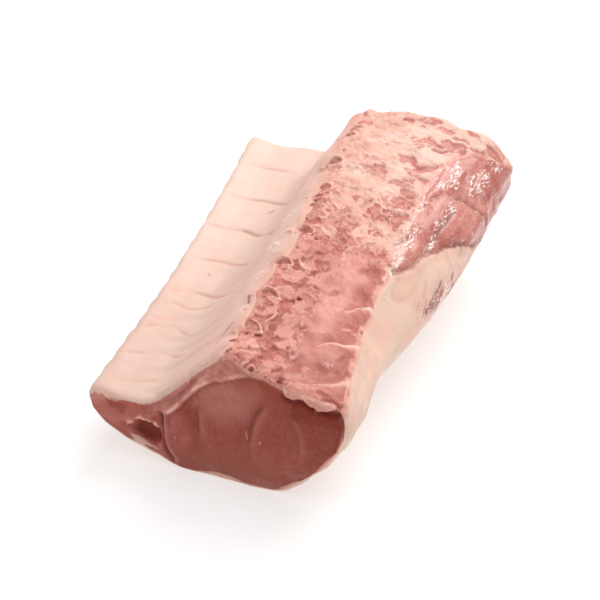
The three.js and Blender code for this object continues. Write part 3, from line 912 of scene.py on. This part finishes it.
def shapeBackFat(skin):
    y, z, fat, small, broad = skin.y, skin.z, skin.fat, skin.small, skin.broad
    upper = skin.around < at["sideLow"]
    skin.lay(fat, 0.6 * broad + 0.6 * noise(skin.points, (30, 60, 12), 127))
    skin.lay(hill(skin.fatAway - 1.5, 2.4) * upper * fat, 0.8)
    # a painted shadow line on the fat just under the muscle's edge
    skin.lay(hill(skin.fatAway + 1.6, 1.7) * upper * (skin.muscle > 0.1), -1.3, grey=0.5, deep=0.8)
    skin.lay(hill(noise(skin.points, (40, 60, 18), 131), 0.12) * fat, -0.5, grey=0.1, flush=0.2)
    skin.lay(fat * ramp(noise(skin.points, (14, 24, 10), 133), -0.4, 0.4), flush=0.25)
    # the fat painted greyer towards the near end, as painted shade
    skin.lay(fat * ramp(-y, 20, 100) * ramp(broad, -0.5, 0.3), grey=0.14)
    slanted = np.stack([skin.x, y * 0.8 + z * 0.6, z * 0.8 - y * 0.6], 1)
    streaks = layered(slanted, (10, 16, 3), 137, 2)
    middle = backFat["streaksFrom"] + 4 * broad
    band = hill(skin.fatAway - middle, backFat["streaksWide"]) * ramp(y, -24, 0) * fat * upper
    # glints on the wet band painted as highlights
    skin.lay(band, -0.7 * ramp(streaks, -0.1, 0.3), flush=0.7, wet=1, glint=0.5)
    skin.lay(band * ramp(streaks, -0.15, 0.2), lean=0.7, grey=0.3)
    skin.lay(band * hill(streaks - 0.05, 0.1), grey=0.8, deep=0.6)
    for path in backFat["slits"]:
        away, share = toPath(y + small, z + small, path)
        slit = hill(away, 0.9) * between(share, 0, 0.3, 0.7, 1) * upper * (skin.x > 60)
        # painted dark inside, as painted shade
        skin.lay(slit, -1.2, grey=0.8, blood=0.35)
    print("back fat shaped")


cutEnds = {
    "farLean": 0.16,  # the far face leans the other way from the near one
    "farSquash": 0.1,
    # the pale line under the rib muscle, as points (x, z) on the near face
    "coverLine": [(-38, 37), (-32, 41), (-23.5, 50.5), (-12.5, 66), (-4.5, 73), (5, 77.5), (18, 80.5),
                  (30, 82), (40, 77)],
    # fat round the back and underneath, thin edges at the top: place on the outline, width
    "rim": [(0, 1.2), (0.4, 1.6), (1, 2.4), (3, 2.2), (3.6, 1.2), (7.6, 0.6), (8.3, 1), (9, 2.4), (10, 3.4),
            (11, 3.8), (12, 3.4), (13, 2.6), (14, 2), (15, 1.4), (16, 2.2), (17, 3), (18, 2), (19, 1.2)],
    # seams of the muscles: points (x, z) from the top down, and how dark each is
    "seams": [
        ([(-12, 53), (-11, 44), (-11.5, 34), (-13, 22)], 1.3),
        ([(30, 66), (26, 58), (22.5, 51), (21, 43.5), (20.5, 30), (20, 17)], 1.4),
        ([(43, 60), (47, 52), (50, 44), (49, 33), (45, 22)], 0.8),
    ],
    "tailGap": [(-37, 40), (-35, 34), (-35.5, 24), (-33, 14), (-29, 8)],
    "tailTip": (-77, 40, 7, 8),
    "hollow": (-45, 22, 9.5, 7.5),
    "hollowDepth": 2.6,
    "tailBits": [(-50, 32, 5, 2.4), (-44, 30.5, 4, 2), (-39, 29, 2.4, 3.4), (-56, 27, 2, 3)],
    "ticks": [[(-26, 23), (-26, 27)], [(2, 31), (3, 37)], [(26, 35), (26.5, 40)], [(18, 38), (17.5, 43)]],
    "marrow": [(36, 80, 2.4, 2.4), (31, 84, 2, 2), (19, 84, 2, 2)],
    "groove": [(38, 82), (41, 77), (44, 72)],
    # scraps hanging over the dark muscle at the upper right
    "scraps": [(44, 75), (50, 77), (56, 76), (60, 73), (65, 73), (69, 71)],
    "light": (4, 63, 26, 20),
    "leftLobe": (-24, 30, 10, 18),
    "redSpots": [(-25, 39, 3.5, 4), (-27, 33, 2, 6), (-20, 26, 4, 5), (-79, 41, 4, 5), (-66, 33, 5, 4)],
}


def shapeCutEnds(skin):
    small, broad, depth, around, near = skin.small, skin.broad, skin.depth, skin.around, skin.near
    onFar = skin.far > 0.5
    x = skin.x + cutEnds["farLean"] * skin.z * onFar
    z = skin.z * (1 - cutEnds["farSquash"] * onFar)
    face = near + skin.far
    skin.flatten(face)
    # both cut faces painted deep red: darker muscle, and on the near face largely painted shade
    skin.lay(face, 0.5 * broad + 0.2 * small, "all", lean=1, deep=0.8)
    tail = ramp(-x, 34, 38)
    skin.lay(face * ramp(layered(skin.points, (16, 16, 26), 141), 0.1, 0.6), 0, "deep", 0.2)
    skin.lay(face * ramp(-z, -34, -4) * (1 - tail), grey=0.25)
    skin.lay(face * ramp(x, 30, 72) * ramp(z, 8, 30), blood=0.35)
    light = blot(x, z, cutEnds["light"], 0.2 * broad, 0.3, 1.2) * face
    skin.lay(light, 0, "deep grey", 0.42, rose=0.12, grey=0.06)
    skin.lay(face * ramp(x, 5, 30) * ramp(z, 14, 4), rose=0.12, flush=0.2)

    # rib muscle and bone between the skin and the pale line, from the foot of the slope to the backbone
    foot, edge = at["sheetFoot"], at["leanEdge"]
    over = face * between(around, foot - 0.3, foot + 0.2, edge - 0.7, edge)
    away, share = toPath(x + 0.8 * broad, z + 1.2 * broad, cutEnds["coverLine"])
    band = over * ramp(away, -0.5, 0.8)
    # layers that follow the skin, painted darker where low and rosier where high, as painted shade and light
    ply = layered(np.stack([around * 18, depth, skin.y], 1), (13, 3, 8), 147, 2)
    skin.lay(band, 1.2 * ply + 0.7 * small, "deep grey", 0.8 + 0.2 * ply, rose=0.25, grey=0.12)
    skin.lay(band * ramp(-ply, 0.15, 0.5), grey=0.2, deep=0.6)
    skin.lay(band * ramp(ply, 0.1, 0.5), rose=0.6)
    left = over * ramp(share, 0.6, 0.35)
    # a sunk groove above the line's left end, painted dark as shade
    skin.lay(hill(away - 3.2 - 0.8 * broad, 1.3) * left * ramp(share, 0.03, 0.15), -1.3, deep=0.7, grey=0.3)
    skin.lay(hill(away - 6.5, 2.2) * left, 0.9)
    line = hill(away, 1.3) * face * between(share, 0, 0.12, 0.8, 1)
    line = line * (0.35 + 0.65 * ramp(noise(skin.points, 12, 149), -0.5, 0.2))
    skin.lay(line, 1, "deep grey", rose=1, pale=0.45)
    skin.lay(hill(away + 2.4, 1.8) * face, -0.4)
    # a strip just under the raised line, painted dark as shade
    skin.lay(hill(away + 2.4, 1.6) * over, deep=0.95, blood=0.12)
    lip = ramp(-skin.y, halfLong - 9, halfLong - 2) * (around > foot) * (around < at["sawnMiddle"])
    skin.lay(lip, small + 0.6 * broad)

    rimWide = np.interp(around, *zip(*cutEnds["rim"])) + 4 * hill(x - 1, 12) * (z < 20)
    rim = face * ramp(depth + 0.9 * broad + 0.5 * small, rimWide + 0.7, rimWide - 0.8)
    outer = ramp(around, at["leanTop"], at["fatEdge"])
    skin.lay(rim, 0, "all", flush=0.9)
    skin.lay(rim * outer, grey=0.3)
    skin.lay(face * hill(depth - rimWide - 1.6, 1.6) * outer, deep=1, blood=0.2)

    # soft edges where one muscle lies against the next: one side raised and rosier, a dark line and the other
    # side darker, as painted light and shade
    for path, dark in cutEnds["seams"]:
        away, share = toPath(x + 0.8 * broad, z, path)
        ends = face * between(share, 0, 0.12, 0.45, 1) * dark
        skin.lay(step(away, -0.8, 0.8, 8) * ends, 0.9)
        skin.lay(hill(away + 0.5, 1.1) * ends, blood=0.6)
        skin.lay(past(-away, 4) * ends, deep=1, blood=0.35)
        skin.lay(hill(away - 2.4, 2) * ends, rose=0.1)
    away = toPath(x + 0.5 * broad, z, cutEnds["tailGap"])[0]
    # the gap painted dark red, as painted shade
    skin.lay(hill(away, 1) * face, -2.2, blood=0.8)
    skin.lay(hill(away - 2.2, 1.5) * face, 0, "deep", 0.3, rose=0.2)

    # tail: redder muscle, with a hollow under bits of fat, painted dark as shade
    skin.lay(face * tail, 0, "deep", 0.52)
    skin.lay(face * tail * ramp(-broad, -0.2, 0.4), deep=0.72)
    skin.lay(face * tail * hill(depth - 3.5, 2) * (around < 1.5), rose=0.3)
    skin.lay(blot(x, z, cutEnds["tailTip"], 0, 0.3, 1) * face, 0, "deep", 0.6)
    hollow = blot(x, z, cutEnds["hollow"], 0.15 * broad + 0.1 * small, 0.75, 1.05) * face
    skin.lay(hollow, -cutEnds["hollowDepth"], "pale flush rose", deep=1, blood=0.3)
    for spot in cutEnds["tailBits"]:
        skin.lay(blot(x, z, spot, 0.8 * small, 0.4, 1.2) * near, 1.1, "lean deep blood", 0.8, flush=1)
    skin.lay(blot(x, z, cutEnds["leftLobe"], 0, 0.4, 1.1) * face, 0.8, "deep grey", 0.25)
    for spot in cutEnds["redSpots"]:
        skin.lay(blot(x, z, spot, 0.3 * small, 0.3, 1.2) * face, 0, "deep grey", 0.7, blood=0.24)

    # upper right: scraps hang over a darker muscle, partly painted shade, and a marrow hole beside the
    # backbone
    skin.lay(near * ramp(x, 40, 46) * ramp(z, 44, 62), deep=1, blood=0.35)
    away = toPath(x + 0.5 * small, z, cutEnds["groove"])[0]
    # the groove painted dark, as painted shade
    skin.lay(hill(away, 1.1) * near, -1.6, blood=0.8)
    corner = ramp(-skin.y, halfLong - 10, halfLong - 4)
    away = toPath(x, z, cutEnds["scraps"])[0]
    torn = noise(skin.points, (9, 9, 6), 151) + 0.5 * small - (np.abs(away) - 3) * 0.2
    scrap = ramp(torn, -0.2, 0.2) * corner * (np.abs(away) < 8)
    skin.lay(corner * hill(away, 6), 0.8 * small)
    # a painted shadow just under the scraps
    skin.lay(hill(away + 5 + 1.5 * broad, 1.8) * near * (1 - scrap), -1.6, blood=0.8)
    skin.lay(scrap, 1.8, "deep blood grey", 0.85, rose=0.65)
    # the scraps' high parts painted pale, as painted highlight
    skin.lay(scrap * ramp(small, 0.1, 0.5), pale=0.5)
    for spot in cutEnds["marrow"]:
        inside = fromSpot(x, z, spot) + 0.3 * small
        skin.lay(ramp(inside, 1.1, 0.3) * corner, -1, "pale grey rose", lean=1, deep=1, blood=0.5)
        skin.lay(hill(inside - 1.3, 0.25) * corner, rose=0.7)
    for path in cutEnds["ticks"]:
        skin.lay(hill(toPath(x, z, path)[0], 0.6) * near, pale=0.5)
    print("cut ends shaped")


meatColours = {
    "fat": colour(233, 200, 181),
    "film": colour(238, 207, 193),
    "flush": colour(236, 168, 151),
    "lean": colour(206, 128, 119),
    "leanDark": colour(183, 101, 91),
    # deep red of darker muscle, also painted shade: most of the near cut face's darkness and the dark sides
    # of steps and seams
    "deep": colour(140, 52, 27),
    # dark red of marrow and red spots, also painted shade in gaps, grooves, slits and seam lines
    "blood": colour(108, 24, 18),
    # light rose of the lean, also painted light on raised lumps and cells and on the raised side of edges and
    # seams
    "rose": colour(230, 166, 153),
    # pale bone, gristle and membrane, also painted highlight on lean lobe edges, on scraps and on one side of
    # joint rims
    "pale": colour(249, 204, 187),
    # grey-brown of streaks and membrane, also painted shade on rib slopes, in creases and slits and towards
    # the near end
    "grey": colour(138, 94, 80),
    # painted highlight: the white glints of wet meat
    "glint": colour(255, 246, 243),
}
meatShine = {
    "Coat_Roughness": 0.14,
    "Subsurface_Weight": 0.2,
    "Subsurface_Scale": 0.004,
    "Subsurface_Radius": (1.0, 0.35, 0.22),
    "IOR": 1.42,
    "Specular_IOR_Level": 0.3,
}


def rawPork():
    meat = Finish("rawPork")
    place = meat.place()
    broad = meat.noise(place, 16, 4)
    fine = meat.noise(place, 2.2, 5, 0.6)
    grain = meat.noise(meat.stretched(place, (1, 8, 1)), 0.9, 3, 0.6)
    strokes = meat.noise(meat.stretched(place, (4, 1, 2.5), 78), 0.8, 3, 0.65)
    creases = meat.noise(meat.stretched(place, (5, 1, 5), -38), 1.1, 2)
    shreds = meat.noise(meat.stretched(meat.bent(place, 5, 4), (3.5, 1, 1.6), -5), 1.7, 4, 0.6)
    bent = meat.bent(meat.bent(place, 7, 7), 2.5, 3)
    tiles = meat.cells(bent, 3.4, "F1", 1)
    cracks = (1 - meat.cells(bent, 3.4, "DISTANCE_TO_EDGE", 0).ramp(0, 0.16)) * fine.ramp(0.4, 0.6)
    (lean, deep, film, flush, rose, bone, shred, fold, blood, pale, grey, wet,
     glint) = map(meat.value, Skin.layers)
    ragged = (fine - 0.5) * 0.7
    tattered = (shreds - 0.5) * shred * 1.2
    chipped = (tiles - 0.5) * bone * 0.6
    stringy = (shreds - 0.6) * shred * lean * 1.2
    speckled = (fine - 0.56) * bone * 1.6
    veined = cracks * bone * broad.ramp(0.4, 0.6) * 0.6
    # wrinkles: thin grooves in the film, painted grey as shade
    wrinkles = shreds.ramp(0.44, 0.5) * shreds.ramp(0.56, 0.5) * shred * broad.ramp(0.4, 0.6)
    # spark: painted highlights, white strokes where the glint and fold layers lie
    spark = (strokes + glint * 0.14).ramp(0.64, 0.69) * glint.ramp(0, 0.5)
    spark = spark + creases.ramp(0.54, 0.6) * fold.ramp(0.2, 0.6)
    leanTone = (broad * 0.7 + grain * 0.5).ramp(0.3, 0.85)
    tints = {**meatColours, "lean": meat.mix(leanTone, meatColours["lean"], meatColours["leanDark"])}
    base = meatColours["fat"]
    for tint, cover in (  # each tint over the ones before it
        ("film", film),
        ("flush", flush * (broad * 0.5 + 0.72)),
        ("lean", (lean + ragged + tattered + chipped).ramp(0.3, 0.7)),
        ("deep", deep * (fine * 0.6 + 0.7) + stringy),
        ("grey", grey * (fine * 0.6 + 0.65)),
        ("blood", blood * (fine * 0.8 + 0.55) + speckled),
        ("rose", rose * (fine * 0.4 + 0.75)),
        ("pale", (pale + ragged).ramp(0.15, 0.85) * 0.9 + veined),
        # painted shade: grey in the wrinkles, in the folds' valleys and beside the glint strokes
        ("grey", wrinkles * 0.25),
        ("grey", creases.ramp(0.4, 0.3) * fold * 0.3),
        ("grey", strokes.ramp(0.46, 0.38) * glint * 0.55),
        ("glint", spark * 0.85),
    ):
        base = meat.mix(cover, base, tints[tint])
    rough = 0.44 + (fine - 0.5) * 0.25 - wet * 0.14 + film * 0.12
    height = fine * 0.4 - wrinkles * 0.6 + strokes * glint + grain * 0.1 * lean + broad * 0.2
    height = height + shreds * shred * 1.1 + (cracks + tiles) * bone * 0.7 + creases * fold
    bump = meat.node("ShaderNodeBump", {}, {"Strength": 0.5, "Distance": 0.7 * mm, "Height": height})
    coat = (wet * 0.5 + 0.04).clip()
    meat.set(Base_Color=base, Roughness=rough.clip(), Coat_Weight=coat, Normal=bump)
    meat.set(**meatShine)
    return meat.made


# The far end of the backbone stands up square: the points near a spot (x, z) move by this much.
squareEnd = {
    "spots": [((-36, 61), (7, -4)), ((-28, 77), (4, -1)), ((-17, 91), (1.5, -3)), ((4, 99), (0, -5.5)),
              ((26, 101), (0, -3))],
    "reach": (10, 10),
    "from": 88,
    "to": 124,
}


def squareOff(points):
    share = ramp(points[:, 1], squareEnd["from"], squareEnd["to"])
    for spot, shift in squareEnd["spots"]:
        pull = hill(fromSpot(points[:, 0], points[:, 2], (*spot, *squareEnd["reach"])), 1) * share
        points[:, [0, 2]] += pull[:, None] * np.array(shift)


def addLoin():
    loin = startLoin()
    skin = Skin(loin)
    for shape in (levelSolid, shapeRibSheet, shapeBackbone, shapeLean, shapeFilm, shapeMuscle,
                  shapeBackFat, shapeCutEnds):
        shape(skin)
    points = skin.points + skin.normals * skin.rise[:, None]
    squareOff(points)
    points[:, 2] = np.maximum(points[:, 2], 0)
    loin.data.vertices.foreach_set("co", (points * mm).ravel())
    loin.data.update()
    for name, strength in skin.paint.items():
        layer = loin.data.attributes.new(name, "FLOAT", "POINT")
        layer.data.foreach_set("value", np.clip(strength, 0, 1).astype(np.float32))
    smooth(loin, 1, 0.3)
    share = meshDetail["mostFaces"] / len(loin.data.polygons)
    if share < 1:
        change = loin.modifiers.new("fewer", "DECIMATE")
        change.ratio = share
        bpy.ops.object.modifier_apply(modifier=change.name)
    print("loin has", len(loin.data.polygons), "faces")
    bpy.ops.object.shade_smooth()
    loin.data.materials.clear()
    loin.data.materials.append(rawPork())
    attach(loin, "root")
    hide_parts("pork_loin")
    print("loin finished")


addCamera()
addFloor()
addLamps()
addLoin()
